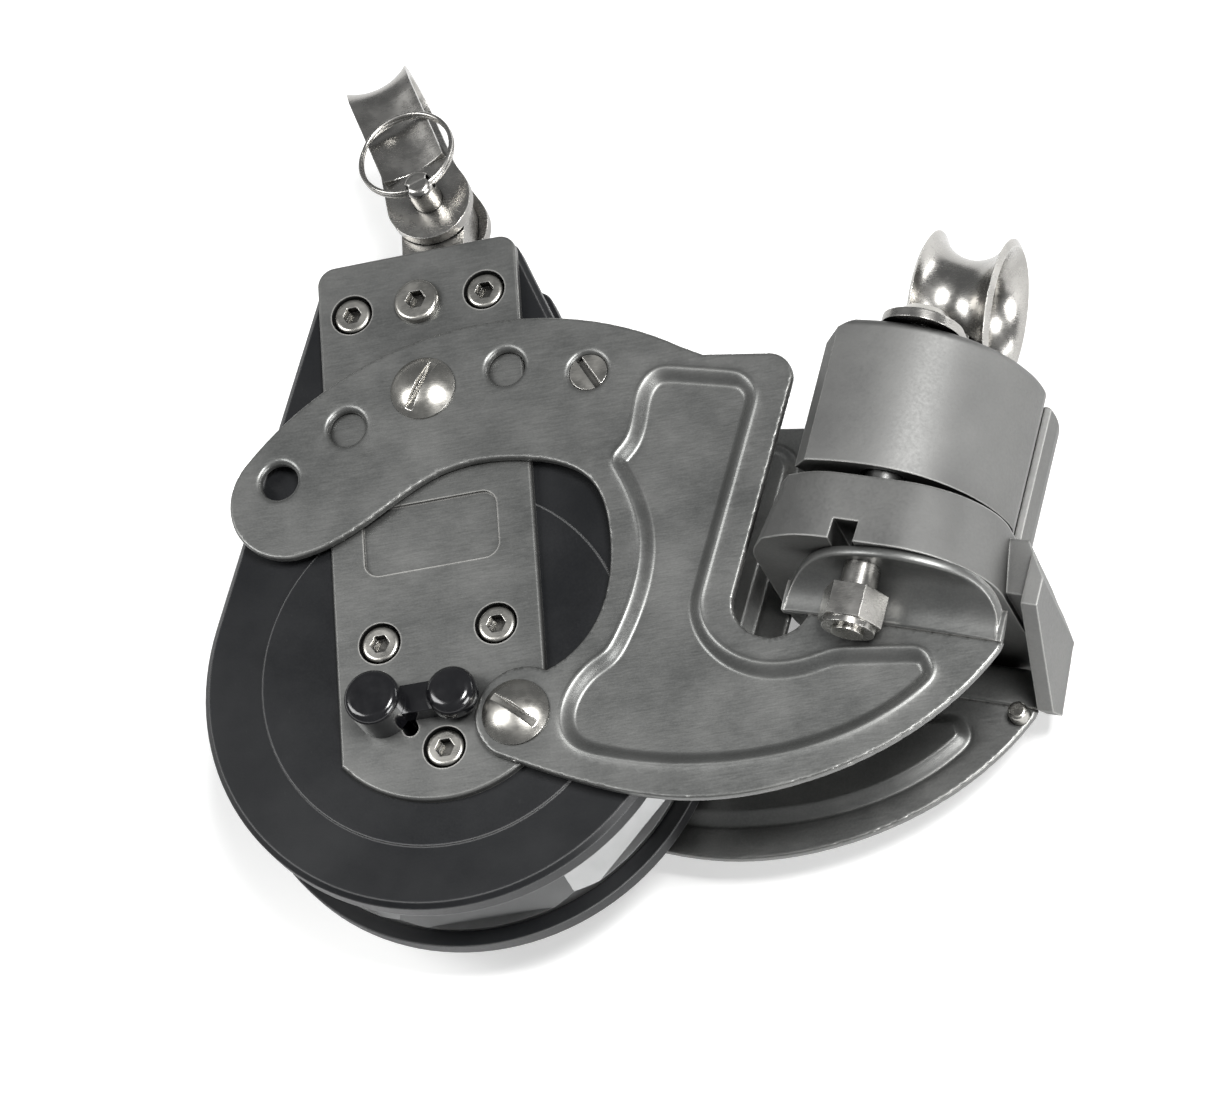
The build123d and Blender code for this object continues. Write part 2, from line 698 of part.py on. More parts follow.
# ---------------------------------------------------------------- cleat base
cam_places = [(cam_u, cam_z), (cam_u, -cam_z)]
base_end = (70.0, 10.0)
base_end_r = 14.2
base_middle = (60.0, 12.0)
base_middle_r = 12.2
base_corner = (51.2, 19.8)
base_corner_r = 0.8
far_corner = (78.5, -17.5)
far_corner_r = 6.6
base_flare = 8.9
notch_centre_u = 63.0
post_out_r = 3.2
wall_out_u = 91.6
wall_t = 2.6
wall_low = 15.6
wall_waist = 27.5
wall_high = 35.0

with BuildPart() as cleat_base:
    with BuildSketch(level(base_high)):
        with Locations(base_end):
            Circle(base_end_r)
        with Locations(base_middle, (base_middle[0], -base_middle[1])):
            Circle(base_middle_r)
        with Locations(base_corner, (base_corner[0], -base_corner[1])):
            Circle(base_corner_r)
        with Locations(far_corner):
            Circle(far_corner_r)
        make_hull()
    extrude(amount=base_high - base_low, taper=-base_flare)
    with BuildSketch(level(base_high)):
        with Locations(*cam_places):
            Circle(cam_screw_r + fit)
    extrude(amount=base_high - base_low, mode=Mode.SUBTRACT)
    with BuildSketch(Plane(origin=u_dir * wall_out_u, x_dir=(0, 0, 1), z_dir=u_dir * -1)):
        with BuildLine():
            Polyline((12, wall_high), (12, base_low - 1), (-12.5, wall_low), (-18.5, wall_low + 1.6),
                     (-15.5, wall_waist), (-15.5, wall_high), close=True)
        make_face()
    extrude(amount=wall_t)
    with BuildSketch(level(wall_high)):
        with Locations((wall_out_u - 4, 0)):
            Rectangle(6, 20)
    extrude(amount=wall_high - base_low - 1)
    with BuildSketch(cleat_side.offset(-20)):
        with BuildLine():
            Polyline((wall_out_u - 5, base_high), (wall_out_u + 1, base_low + 2),
                     (wall_out_u + 1, base_high), close=True)
        make_face()
    extrude(amount=40, mode=Mode.SUBTRACT)
    with BuildSketch(cleat_side.offset(-40)):
        with Locations((notch_centre_u, base_low)):
            Rectangle(4, 7)
    extrude(amount=80, mode=Mode.SUBTRACT)
cleat_base.part.label = "cleat_base"
export_step(cleat_base.part, "parts/cleat_base.step")

# ---------------------------------------------------------------- cams
tooth_r = 0.6
cam_edge_r = 1.4
spring_room_r = 3.95
spring_room_h = 4.4

with BuildPart() as near_cam:
    with BuildSketch(level(cam_high)):
        with BuildLine():
            face = Spline((82.8, 2.4), (75.5, 2.3), (64.0, 7.2), (54.0, 17.0))
            Polyline(face @ 1, (51.2, 20.2), (53.6, 23.8))
            back = Spline((53.6, 23.8), (61.3, 25.1), (69.1, 24.4), (76.4, 20.4), (81.6, 13.4), (83.5, 6.0))
            Line(back @ 1, face @ 0)
        make_face()
        with Locations(cam_places[0]):
            Circle(post_out_r + fit, mode=Mode.SUBTRACT)
        for n in range(13):
            with Locations(face @ (0.05 + 0.058 * n)):
                Circle(tooth_r, mode=Mode.SUBTRACT)
    extrude(amount=cam_high - cam_low)
    cam_top = near_cam.faces().sort_by(Axis(origin=(0, 0, 0), direction=w_dir))[-1]
    fillet(cam_top.edges().sort_by(Edge.length)[-1], radius=cam_edge_r)
    with BuildSketch(level(cam_low)):
        with Locations(cam_places[0]):
            Circle(spring_room_r)
    extrude(amount=-spring_room_h, mode=Mode.SUBTRACT)
    with BuildSketch(cleat_side.offset(60)):
        with BuildLine():
            Polyline((50, cam_high - 4), (50, cam_high + 1), (58, cam_high + 1), close=True)
        make_face()
    extrude(amount=-60, mode=Mode.SUBTRACT)
near_cam.part.label = "near_cam"
export_step(near_cam.part, "parts/near_cam.step")

with BuildPart() as far_cam:
    mirror(near_cam.part, about=Plane.XY)
far_cam.part.label = "far_cam"
export_step(far_cam.part, "parts/far_cam.step")

# ---------------------------------------------------------------- cam posts, springs, screws and nuts
bridge_low = cam_high + 0.3
bridge_t = 1.5
bridge_high = bridge_low + bridge_t
nut_low = 12.8
nut_high = 19.0
nut_flats = 8.9

with BuildPart() as cam_posts:
    with BuildSketch(level(bridge_low)):
        with Locations(*cam_places):
            Circle(post_out_r)
            Circle(cam_screw_r + fit, mode=Mode.SUBTRACT)
    extrude(amount=bridge_low - base_high)
cam_posts.part.label = "cam_posts"
export_step(cam_posts.part, "parts/cam_posts.step")

spring_wire_r = 0.25
spring_r = 3.52
spring_pitch = 0.46
spring_turns = 6
with BuildPart(level(cam_low + spring_wire_r + 0.1)) as near_spring:
    with Locations(*[(cam_u, cam_z, -spring_pitch * turn) for turn in range(spring_turns)]):
        Torus(spring_r, spring_wire_r)

with BuildPart() as cam_springs:
    add(near_spring.part)
    mirror(near_spring.part, about=Plane.XY)
cam_springs.part.label = "cam_springs"
export_step(cam_springs.part, "parts/cam_springs.step")

with BuildPart() as cam_screws:
    with BuildSketch(level(bridge_high)):
        with Locations(*cam_places):
            Circle(cam_screw_r)
    extrude(amount=bridge_high - nut_low + 0.6)
    with BuildSketch(level(bridge_high + 2.0)):
        with Locations(*cam_places):
            Circle(4.8)
    extrude(amount=2.0)
    rims = cam_screws.edges().filter_by(GeomType.CIRCLE).sort_by(lambda edge: edge.center().dot(w_dir))
    chamfer(rims[-2:], length=1.2)
    with BuildSketch(level(bridge_high + 2.0)):
        with Locations(*cam_places):
            RegularPolygon(1.9, 6)
    extrude(amount=1.6, mode=Mode.SUBTRACT)
cam_screws.part.label = "cam_screws"
export_step(cam_screws.part, "parts/cam_screws.step")

with BuildPart() as cam_nuts:
    with BuildSketch(level(nut_high)):
        with Locations(*cam_places):
            RegularPolygon(nut_flats / 2, 6, major_radius=False)
            Circle(cam_screw_r, mode=Mode.SUBTRACT)
    extrude(amount=nut_high - nut_low - 1)
    with BuildSketch(level(nut_low + 1)):
        with Locations(*cam_places):
            Circle(nut_flats / 2 - 0.3)
            Circle(cam_screw_r, mode=Mode.SUBTRACT)
    extrude(amount=1)
    with BuildSketch(level(fold_w + fold_r)):
        with Locations(*cam_places):
            Circle(2.9)
            Circle(cam_screw_r, mode=Mode.SUBTRACT)
    extrude(amount=fold_w + fold_r - nut_high)
    add(near_arm.part, mode=Mode.SUBTRACT)
    add(far_arm.part, mode=Mode.SUBTRACT)
cam_nuts.part.label = "cam_nuts"
export_step(cam_nuts.part, "parts/cam_nuts.step")

# ---------------------------------------------------------------- fairlead
eye_t = 1.2
eye_flare = 4.2
eye_land = 1.0
eye_centre = u_dir * eye_u + w_dir * eye_w

with BuildPart() as fairlead_eye:
    with BuildSketch(Plane(origin=eye_centre, x_dir=u_dir, z_dir=(0, 0, 1))):
        with BuildLine():
            land = Line((-eye_land, eye_r), (eye_land, eye_r))
            right = TangentArc(land @ 1, (eye_len / 2, eye_r + eye_flare), tangent=(1, 0))
            left = TangentArc(land @ 0, (-eye_len / 2, eye_r + eye_flare), tangent=(-1, 0))
            Line(right @ 1, (eye_len / 2 - 0.7, eye_r + eye_flare + eye_t))
            Line(left @ 1, (0.7 - eye_len / 2, eye_r + eye_flare + eye_t))
            ThreePointArc((0.7 - eye_len / 2, eye_r + eye_flare + eye_t), (0, eye_r + eye_t),
                          (eye_len / 2 - 0.7, eye_r + eye_flare + eye_t))
        make_face()
    revolve(axis=Axis(origin=eye_centre, direction=u_dir), revolution_arc=360)
fairlead_eye.part.label = "fairlead_eye"
export_step(fairlead_eye.part, "parts/fairlead_eye.step")

with BuildPart() as fairlead_bridge:
    with BuildSketch(level(bridge_high)):
        with Locations((cam_u, 0)):
            Rectangle(13, 2 * cam_z)
        with Locations(*cam_places):
            Circle(6.5)
            Circle(cam_screw_r + fit, mode=Mode.SUBTRACT)
    extrude(amount=bridge_t)
    with BuildSketch(level(eye_w - 4)):
        with Locations((eye_u, 0)):
            Rectangle(6, 12)
    extrude(amount=eye_w - 4 - bridge_high)
    with BuildSketch(Plane(origin=eye_centre - u_dir * 10, z_dir=u_dir)):
        Circle(eye_r + eye_t - 0.02)
    extrude(amount=20, mode=Mode.SUBTRACT)
    add(fairlead_eye.part, mode=Mode.SUBTRACT)
fairlead_bridge.part.label = "fairlead_bridge"
export_step(fairlead_bridge.part, "parts/fairlead_bridge.step")
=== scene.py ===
import json
import math

import bmesh
import bpy
import numpy as np
from mathutils import Matrix, Vector
from mathutils.geometry import delaunay_2d_cdt


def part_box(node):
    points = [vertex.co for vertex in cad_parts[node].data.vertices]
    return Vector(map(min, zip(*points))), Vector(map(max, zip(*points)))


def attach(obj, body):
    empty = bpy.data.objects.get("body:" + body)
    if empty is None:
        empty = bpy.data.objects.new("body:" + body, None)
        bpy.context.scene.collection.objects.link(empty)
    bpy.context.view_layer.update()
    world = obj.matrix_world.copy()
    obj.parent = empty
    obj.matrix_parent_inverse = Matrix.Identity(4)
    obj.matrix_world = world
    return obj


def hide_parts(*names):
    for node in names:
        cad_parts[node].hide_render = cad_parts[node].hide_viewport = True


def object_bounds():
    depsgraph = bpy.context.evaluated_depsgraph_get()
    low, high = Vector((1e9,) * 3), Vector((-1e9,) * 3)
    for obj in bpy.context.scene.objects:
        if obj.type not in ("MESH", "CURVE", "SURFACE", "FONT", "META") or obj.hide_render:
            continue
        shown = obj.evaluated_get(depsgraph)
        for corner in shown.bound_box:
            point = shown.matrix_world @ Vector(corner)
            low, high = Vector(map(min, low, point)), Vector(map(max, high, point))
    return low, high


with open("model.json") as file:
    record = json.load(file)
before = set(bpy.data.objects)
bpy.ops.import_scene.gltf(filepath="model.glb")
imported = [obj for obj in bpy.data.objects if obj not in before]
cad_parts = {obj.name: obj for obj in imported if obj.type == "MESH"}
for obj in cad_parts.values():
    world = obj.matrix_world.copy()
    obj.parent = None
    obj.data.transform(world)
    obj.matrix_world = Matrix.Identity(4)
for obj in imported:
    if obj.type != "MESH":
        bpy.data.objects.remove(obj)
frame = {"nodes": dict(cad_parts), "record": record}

# A ratchet block with a cam cleat on side arms. The CAD nodes carry the shape; this script gives them
# their finishes, and stands detailed meshes in for the embossed arms and the split ring.

cad_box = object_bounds()
MM = 0.001
nodes = frame["nodes"]

# The cleat's own directions: u runs with the rope and w runs up the cam axes
CLEAT_TILT = math.radians(19.0)
U = Vector((math.cos(CLEAT_TILT), -math.sin(CLEAT_TILT), 0))
W = Vector((math.sin(CLEAT_TILT), math.cos(CLEAT_TILT), 0))


# ---------------------------------------------------------------- shader helpers
class Shader:
    """A material's node tree, with short calls for the nodes used here."""

    def __init__(self, name):
        self.material = bpy.data.materials.new(name)
        self.material.use_nodes = True
        self.tree = self.material.node_tree
        self.principled = self.tree.nodes["Principled BSDF"]
        self.coords = self.add("ShaderNodeTexCoord").outputs["Object"]

    def add(self, kind, **settings):
        node = self.tree.nodes.new(kind)
        for key, value in settings.items():
            setattr(node, key, value)
        return node

    def put(self, socket, value):
        """Links an output to a socket, or sets a plain value on it."""
        if isinstance(value, bpy.types.NodeSocket):
            self.tree.links.new(value, socket)
        else:
            socket.default_value = value

    def stretched(self, scale):
        """Object coordinates scaled by a vector."""
        node = self.add("ShaderNodeMapping")
        self.put(node.inputs["Vector"], self.coords)
        node.inputs["Scale"].default_value = scale
        return node.outputs["Vector"]

    def noise(self, scale, detail=4.0, roughness=0.55, vector=None):
        node = self.add("ShaderNodeTexNoise")
        self.put(node.inputs["Vector"], vector or self.coords)
        node.inputs["Scale"].default_value = scale
        node.inputs["Detail"].default_value = detail
        node.inputs["Roughness"].default_value = roughness
        return node.outputs["Fac"]

    def cells(self, scale):
        node = self.add("ShaderNodeTexVoronoi")
        self.put(node.inputs["Vector"], self.coords)
        node.inputs["Scale"].default_value = scale
        return node.outputs["Distance"]

    def ramp(self, value, low, high, start=0.0, end=1.0):
        """Maps a value from low..high onto start..end, clamped."""
        node = self.add("ShaderNodeMapRange")
        self.put(node.inputs["Value"], value)
        node.inputs["From Min"].default_value = low
        node.inputs["From Max"].default_value = high
        node.inputs["To Min"].default_value = start
        node.inputs["To Max"].default_value = end
        return node.outputs["Result"]

    def maths(self, operation, a, b=0.0):
        node = self.add("ShaderNodeMath", operation=operation)
        self.put(node.inputs[0], a)
        self.put(node.inputs[1], b)
        return node.outputs["Value"]

    def mix(self, factor, a, b):
        node = self.add("ShaderNodeMix", data_type="RGBA")
        self.put(node.inputs["Factor"], factor)
        self.put(node.inputs["A"], a if isinstance(a, bpy.types.NodeSocket) else (*a, 1.0))
        self.put(node.inputs["B"], b if isinstance(b, bpy.types.NodeSocket) else (*b, 1.0))
        return node.outputs["Result"]

    def edges(self, radius=0.00045):
        """1 along sharp edges, 0 on flat faces: how far a rounded normal turns from the true one."""
        bevel = self.add("ShaderNodeBevel", samples=4)
        bevel.inputs["Radius"].default_value = radius
        turn = self.add("ShaderNodeVectorMath", operation="DOT_PRODUCT")
        self.put(turn.inputs[0], bevel.outputs["Normal"])
        self.put(turn.inputs[1], self.add("ShaderNodeNewGeometry").outputs["Normal"])
        return self.ramp(turn.outputs["Value"], 0.995, 0.85)

    def painted_crevice_shade(self, colour, reach, dark):
        """Painted shade: a colour darkened in gaps and crevices, where other surfaces stand close."""
        node = self.add("ShaderNodeAmbientOcclusion", samples=4)
        node.inputs["Distance"].default_value = reach
        shade = self.ramp(node.outputs["AO"], 0.25, 0.8, dark, 1.0)
        scale = self.add("ShaderNodeVectorMath", operation="SCALE")
        self.put(scale.inputs[0], colour)
        self.put(scale.inputs["Scale"], shade)
        return scale.outputs["Vector"]

    def bump(self, *layers, soften=0.0):
        """Stacks (height, distance in metres, strength) layers, on softened edges if a radius is given."""
        normal = None
        if soften:
            bevel = self.add("ShaderNodeBevel", samples=6)
            bevel.inputs["Radius"].default_value = soften
            normal = bevel.outputs["Normal"]
        for height, distance, strength in layers:
            node = self.add("ShaderNodeBump")
            node.inputs["Distance"].default_value = distance
            node.inputs["Strength"].default_value = strength
            self.put(node.inputs["Height"], height)
            if normal is not None:
                self.put(node.inputs["Normal"], normal)
            normal = node.outputs["Normal"]
        self.put(self.principled.inputs["Normal"], normal)

    def finish(self, colour, roughness, metallic=0.0, **plain):
        self.put(self.principled.inputs["Base Color"], colour)
        self.put(self.principled.inputs["Roughness"], roughness)
        self.principled.inputs["Metallic"].default_value = metallic
        for name, value in plain.items():
            self.principled.inputs[name.replace("_", " ")].default_value = value
        return self.material


# ---------------------------------------------------------------- materials
def satin_plate():
    """Tumbled stainless sheet: mid grey, cloudy, with fine scratches, edges lightened partly by wear and
    partly by a painted highlight, and painted shade in its crevices.
    """
    s = Shader("satin_plate")
    cloud = s.noise(90, 5)
    grain = s.noise(2600, 2)
    scratch = s.noise(420, 3, 0.6, s.stretched((1.0, 9.0, 3.0)))
    colour = s.mix(s.ramp(cloud, 0.3, 0.7), (0.135, 0.138, 0.134), (0.18, 0.181, 0.175))
    colour = s.mix(s.ramp(grain, 0.35, 0.8, 0.0, 0.35), colour, (0.235, 0.235, 0.228))
    # Lighter along sharp edges, partly wear and partly painted highlight; then painted shade darkens the gaps
    # and crevices.
    colour = s.painted_crevice_shade(s.mix(s.edges(), colour, (0.62, 0.61, 0.58)), 0.003, 0.35)
    rough = s.maths("ADD", s.ramp(cloud, 0.3, 0.7, 0.33, 0.43), s.ramp(scratch, 0.3, 0.7, -0.04, 0.05))
    s.bump((grain, 0.00003, 0.25), (scratch, 0.00004, 0.2))
    return s.finish(colour, rough, 0.8)


def bright_steel(name="bright_steel", tint=(0.47, 0.458, 0.435), low=0.2, high=0.3, soften=0.0002):
    """Polished stainless with smudges and light handling marks, a painted highlight along its edges and
    painted shade in its crevices.
    """
    s = Shader(name)
    smudge = s.noise(260, 4)
    marks = s.noise(900, 3, 0.6, s.stretched((1.0, 6.0, 2.0)))
    dark = tuple(c * 0.82 for c in tint)
    colour = s.mix(s.ramp(smudge, 0.35, 0.7), dark, tint)
    # Painted highlight along the sharp edges, then strong painted shade in the gaps and crevices.
    colour = s.painted_crevice_shade(s.mix(s.edges(0.0003), colour, (0.68, 0.67, 0.64)), 0.004, 0.05)
    rough = s.maths("ADD", s.ramp(smudge, 0.3, 0.7, low, high), s.ramp(marks, 0.4, 0.7, 0.0, 0.05))
    s.bump((marks, 0.00001, 0.15), soften=soften)
    return s.finish(colour, rough, 1.0)


def black_moulding():
    """Satin black cheeks: fine moulded grain, faint scuffs and a painted highlight that greys the edges."""
    s = Shader("black_moulding")
    cloud = s.noise(60, 5)
    grain = s.noise(3200, 2)
    scuff = s.noise(500, 4, 0.65, s.stretched((7.0, 1.0, 1.0)))
    colour = s.mix(s.ramp(cloud, 0.3, 0.7), (0.007, 0.0075, 0.0085), (0.013, 0.0135, 0.0145))
    colour = s.mix(s.ramp(scuff, 0.66, 0.8, 0.0, 0.5), colour, (0.045, 0.045, 0.045))
    # Painted highlight: a lighter grey along the sharp edges.
    colour = s.mix(s.edges(), colour, (0.15, 0.15, 0.15))
    rough = s.maths("ADD", s.ramp(cloud, 0.3, 0.7, 0.3, 0.4), s.ramp(grain, 0.3, 0.7, -0.03, 0.05))
    s.bump((grain, 0.00003, 0.3), soften=0.00035)
    return s.finish(colour, rough, 0.0, Specular_IOR_Level=0.25)


def turned_aluminium():
    """Machined sheave: a clean pale grey with a fine grain and painted shade in its corners."""
    s = Shader("turned_aluminium")
    cloud = s.noise(120, 4)
    colour = s.mix(s.ramp(cloud, 0.3, 0.7), (0.23, 0.232, 0.231), (0.28, 0.282, 0.281))
    # Painted shade in the corners, where other surfaces stand close.
    colour = s.painted_crevice_shade(colour, 0.003, 0.45)
    rough = s.ramp(cloud, 0.3, 0.7, 0.36, 0.44)
    s.bump((s.noise(2200, 2), 0.00002, 0.2), soften=0.0001)
    return s.finish(colour, rough, 1.0)


def cast_grey():
    """Cast and bead-blasted grey metal with a fine skin texture, a painted highlight along its edges and
    painted shade in its crevices.
    """
    s = Shader("cast_grey")
    cloud = s.noise(70, 5)
    grain = s.noise(1900, 3)
    pits = s.cells(1500)
    colour = s.mix(s.ramp(cloud, 0.3, 0.7), (0.185, 0.185, 0.181), (0.235, 0.235, 0.228))
    colour = s.mix(s.ramp(pits, 0.0, 0.16, 0.35, 0.0), colour, (0.13, 0.13, 0.126))
    # Painted highlight along the sharp edges, then painted shade in the gaps and crevices.
    colour = s.painted_crevice_shade(s.mix(s.edges(), colour, (0.56, 0.56, 0.54)), 0.005, 0.2)
    rough = s.maths("ADD", s.ramp(cloud, 0.3, 0.7, 0.52, 0.6), s.ramp(grain, 0.3, 0.7, -0.04, 0.06))
    s.bump((grain, 0.00004, 0.3), (cloud, 0.0002, 0.1), soften=0.0005)
    return s.finish(colour, rough, 1.0)


def black_gloss():
    """Glossy black switch, with faint finger marks."""
    s = Shader("black_gloss")
    smudge = s.noise(380, 4)
    colour = s.mix(s.ramp(smudge, 0.3, 0.7), (0.004, 0.004, 0.005), (0.008, 0.008, 0.009))
    rough = s.ramp(smudge, 0.3, 0.7, 0.12, 0.22)
    s.bump((s.noise(1500, 2), 0.00003, 0.15), soften=0.0003)
    return s.finish(colour, rough, 0.0, Coat_Weight=0.4, Coat_Roughness=0.1)


def acetal():
    """Dark bearing plastic of the hub and balls."""
    s = Shader("acetal")
    cloud = s.noise(200, 4)
    colour = s.mix(cloud, (0.05, 0.05, 0.05), (0.09, 0.09, 0.088))
    s.bump((s.noise(2400, 2), 0.00003, 0.2), soften=0.0002)
    return s.finish(colour, s.ramp(cloud, 0.3, 0.7, 0.35, 0.5), 0.0)


def paint_nodes():
    """Gives every CAD node the finish of its record slot."""
    finishes = {
        "cheek": black_moulding(),
        "plate_steel": satin_plate(),
        "machined_steel": bright_steel("machined_steel", (0.5, 0.5, 0.49), 0.22, 0.36),
        "screw_steel": bright_steel("screw_steel", (0.56, 0.545, 0.505), 0.2, 0.34),
        "bright_steel": bright_steel(),
        "spring_steel": bright_steel("spring_steel", (0.5, 0.5, 0.52), 0.2, 0.3, 0.00005),
        "hub": acetal(),
        "sheave_metal": turned_aluminium(),
        "switch_plastic": black_gloss(),
        "cast_grey": cast_grey(),
    }
    for part in frame["record"]["subparts"]:
        obj = nodes[part["node"]]
        obj.data.materials.clear()
        obj.data.materials.append(finishes[part["material_slot"]])
    return finishes


finishes = paint_nodes()


# ---------------------------------------------------------------- detailed arms
ARM_OUT = 15.5          # outer face of the flat of each arm
ARM_T = 1.6             # sheet thickness
EDGE_R = 0.4            # rounding of the sheet's edges
HOLE_R = 0.9            # softer rounding round the holes of the outer face
PRESS_DEPTH = 1.3       # how far the panel is pressed in
PRESS_START = -0.35     # where the pressed slope starts, outside the panel's outline
PRESS_WIDTH = 2.1       # how wide the slope is
BEAD_HEIGHT = 0.17      # lip thrown up along the slope
BEAD_AT = -0.6          # where the lip's crest lies, outside the panel's outline
BEAD_WIDTH = 0.4
FOLD_W = 16.2           # where the sheet starts to fold, along w
FOLD_R = 7.2            # inner radius of the fold
FLANGE_U = 70.6         # middle of the flange, along u
FLANGE_HALF = 17.9      # half its length
FLANGE_DEEP = 11.4      # how far it stands out at its middle
FLANGE_ROWS = 72        # stations along the flange
FOLD_STEPS = 20         # steps round the fold
TIP_R = EDGE_R * 0.8    # rounding of the flange's rim
GRID_STEP = 0.9         # spacing of the plain part of the arm's mesh
EDGE_ROWS = (0.04, 0.13, 0.26, EDGE_R, 0.62, HOLE_R)    # distances of mesh rows from an edge
PANEL_ROWS = (-1.2, 2.4, 0.2)                           # first, last and step of the rows along the slope
RIM_STEP = 0.7          # spacing of points along outlines
PANEL_STEP = 0.45       # spacing of points along the pressed panel
PANEL_ROUNDS = 26       # smoothing that rounds the panel's corners


def top_face_loops(obj, level):
    """Closed boundary loops, in mm, of the faces of a CAD mesh that lie flat at a z level."""
    mesh = obj.data
    spots = np.array([v.co for v in mesh.vertices]) / MM
    used = {}
    for poly in mesh.polygons:
        corners = [tuple(np.round(spots[i][:2], 3)) for i in poly.vertices]
        if all(abs(spots[i][2] - level) < 0.002 for i in poly.vertices):
            for a, b in zip(corners, corners[1:] + corners[:1]):
                if a != b:
                    used.setdefault(frozenset((a, b)), []).append((a, b))
    links = {}
    for pair in (edges[0] for edges in used.values() if len(edges) == 1):
        for a, b in (pair, pair[::-1]):
            links.setdefault(a, []).append(b)
    loops, seen = [], set()
    for start in links:
        if start in seen:
            continue
        loop, here, last = [start], links[start][0], start
        while here != start:
            loop.append(here)
            ahead = [p for p in links[here] if p != last]
            last, here = here, ahead[0]
        seen.update(loop)
        loops.append(np.array(loop))
    return loops


def area(loop):
    x, y = loop[:, 0], loop[:, 1]
    return 0.5 * float(np.sum(x * np.roll(y, -1) - np.roll(x, -1) * y))


def resample(loop, step, keep_corners=True):
    """Points about a step apart round a closed loop; with keep_corners its own points stay too."""
    ahead = np.roll(loop, -1, axis=0)
    lengths = np.linalg.norm(ahead - loop, axis=1)
    if keep_corners:
        out = []
        for a, b, length in zip(loop, ahead, lengths):
            count = max(1, int(round(length / step)))
            out.extend(a + (b - a) * k / count for k in range(count))
        return np.array(out)
    total = np.concatenate(([0], np.cumsum(lengths)))
    marks = np.linspace(0, total[-1], int(total[-1] / step), endpoint=False)
    closed = np.vstack((loop, loop[:1]))
    return np.column_stack([np.interp(marks, total, closed[:, k]) for k in (0, 1)])


def relaxed(loop, rounds):
    """A closed loop smoothed so that its corners become round."""
    for _ in range(rounds):
        loop = 0.5 * loop + 0.25 * (np.roll(loop, 1, axis=0) + np.roll(loop, -1, axis=0))
    return loop


def distance_to(points, loop):
    """Distance from each point to the nearest segment of a closed loop."""
    start, along = loop, np.roll(loop, -1, axis=0) - loop
    square = np.maximum((along**2).sum(axis=1), 1e-12)
    nearest = np.full(len(points), np.inf)
    for first in range(0, len(points), 4000):
        block = points[first:first + 4000, None, :]
        part = np.clip(((block - start) * along).sum(axis=2) / square, 0, 1)
        gap = block - (start + part[..., None] * along)
        nearest[first:first + 4000] = np.sqrt((gap**2).sum(axis=2).min(axis=1))
    return nearest


def inside(points, loop):
    """Even-odd test of each point against a closed loop."""
    x, y = points[:, 0], points[:, 1]
    result = np.zeros(len(points), bool)
    for (ax, ay), (bx, by) in zip(loop, np.roll(loop, -1, axis=0)):
        if ay != by:
            crosses = (ay > y) != (by > y)
            result ^= crosses & (x < (bx - ax) * (y - ay) / (by - ay) + ax)
    return result


def offset_ring(loop, amount):
    """Points beside a loop at a signed distance: positive is to its left."""
    along = np.roll(loop, -1, axis=0) - np.roll(loop, 1, axis=0)
    along /= np.maximum(np.linalg.norm(along, axis=1), 1e-9)[:, None]
    ring = loop + amount * np.column_stack((-along[:, 1], along[:, 0]))
    return ring[np.abs(distance_to(ring, loop) - abs(amount)) < 0.03]


def smooth_step(value):
    value = np.clip(value, 0, 1)
    return value * value * (3 - 2 * value)


def rounded(reach, radius):
    """How far a quarter-round edge has dropped at a distance from the edge."""
    inset = np.clip(radius - reach, 0, radius)
    return radius - np.sqrt(radius**2 - inset**2)


def loose_points(outline, holes, panel):
    """Mesh points of the flat of an arm: rows beside its edges and along the slope, and a plain grid."""
    edge_loops = [outline, *holes]
    rows = []
    for loop in edge_loops:
        side = 1 if (area(loop) > 0) == (loop is outline) else -1
        rows += [offset_ring(loop, side * reach) for reach in EDGE_ROWS]
    side = 1 if area(panel) > 0 else -1
    rows += [offset_ring(panel, side * reach) for reach in np.arange(*PANEL_ROWS)]
    low, high = outline.min(axis=0), outline.max(axis=0)
    columns, lines = np.arange(low[0], high[0], GRID_STEP), np.arange(low[1], high[1], GRID_STEP)
    grid = np.array([(x, y) for x in columns for y in lines])
    to_panel = distance_to(grid, panel) * np.where(inside(grid, panel), 1, -1)
    first, last, _ = PANEL_ROWS
    rows.append(grid[(to_panel < first - 0.3) | (to_panel > last + 0.3)])
    loose = np.vstack(rows)
    keep = inside(loose, outline)
    for loop in edge_loops:
        keep &= distance_to(loose, loop) > 0.03
    for loop in holes:
        keep &= ~inside(loose, loop)
    return loose[keep]


def plate_mesh(outline, holes, panel):
    """Triangles of the flat of an arm, with each point's drop from the outer face and its edge roundings."""
    edge_loops = [outline, *holes]
    rim, first = [], 0
    for loop in edge_loops:
        count = len(loop)
        rim += [(first + k, first + (k + 1) % count) for k in range(count)]
        first += count
    flat = np.vstack([*edge_loops, loose_points(outline, holes, panel)])
    spots, _, triangles, *_ = delaunay_2d_cdt([Vector(p) for p in flat], rim, [], 0, 1e-5)
    spots = np.array(spots)
    middles = np.array([spots[list(t)].mean(axis=0) for t in triangles])
    good = inside(middles, outline)
    for loop in holes:
        good &= ~inside(middles, loop)
    triangles = [t for t, ok in zip(triangles, good) if ok]
    depth = distance_to(spots, panel) * np.where(inside(spots, panel), 1, -1)
    drop = -PRESS_DEPTH * smooth_step((depth - PRESS_START) / PRESS_WIDTH)
    drop += BEAD_HEIGHT * np.exp(-(((depth - BEAD_AT) / BEAD_WIDTH) ** 2))
    to_outline = distance_to(spots, outline)
    to_holes = np.min([distance_to(spots, loop) for loop in holes], axis=0)
    under = rounded(np.minimum(to_outline, to_holes), EDGE_R)
    over = np.maximum(rounded(to_outline, EDGE_R), rounded(to_holes, HOLE_R))
    return spots, triangles, drop, over, under


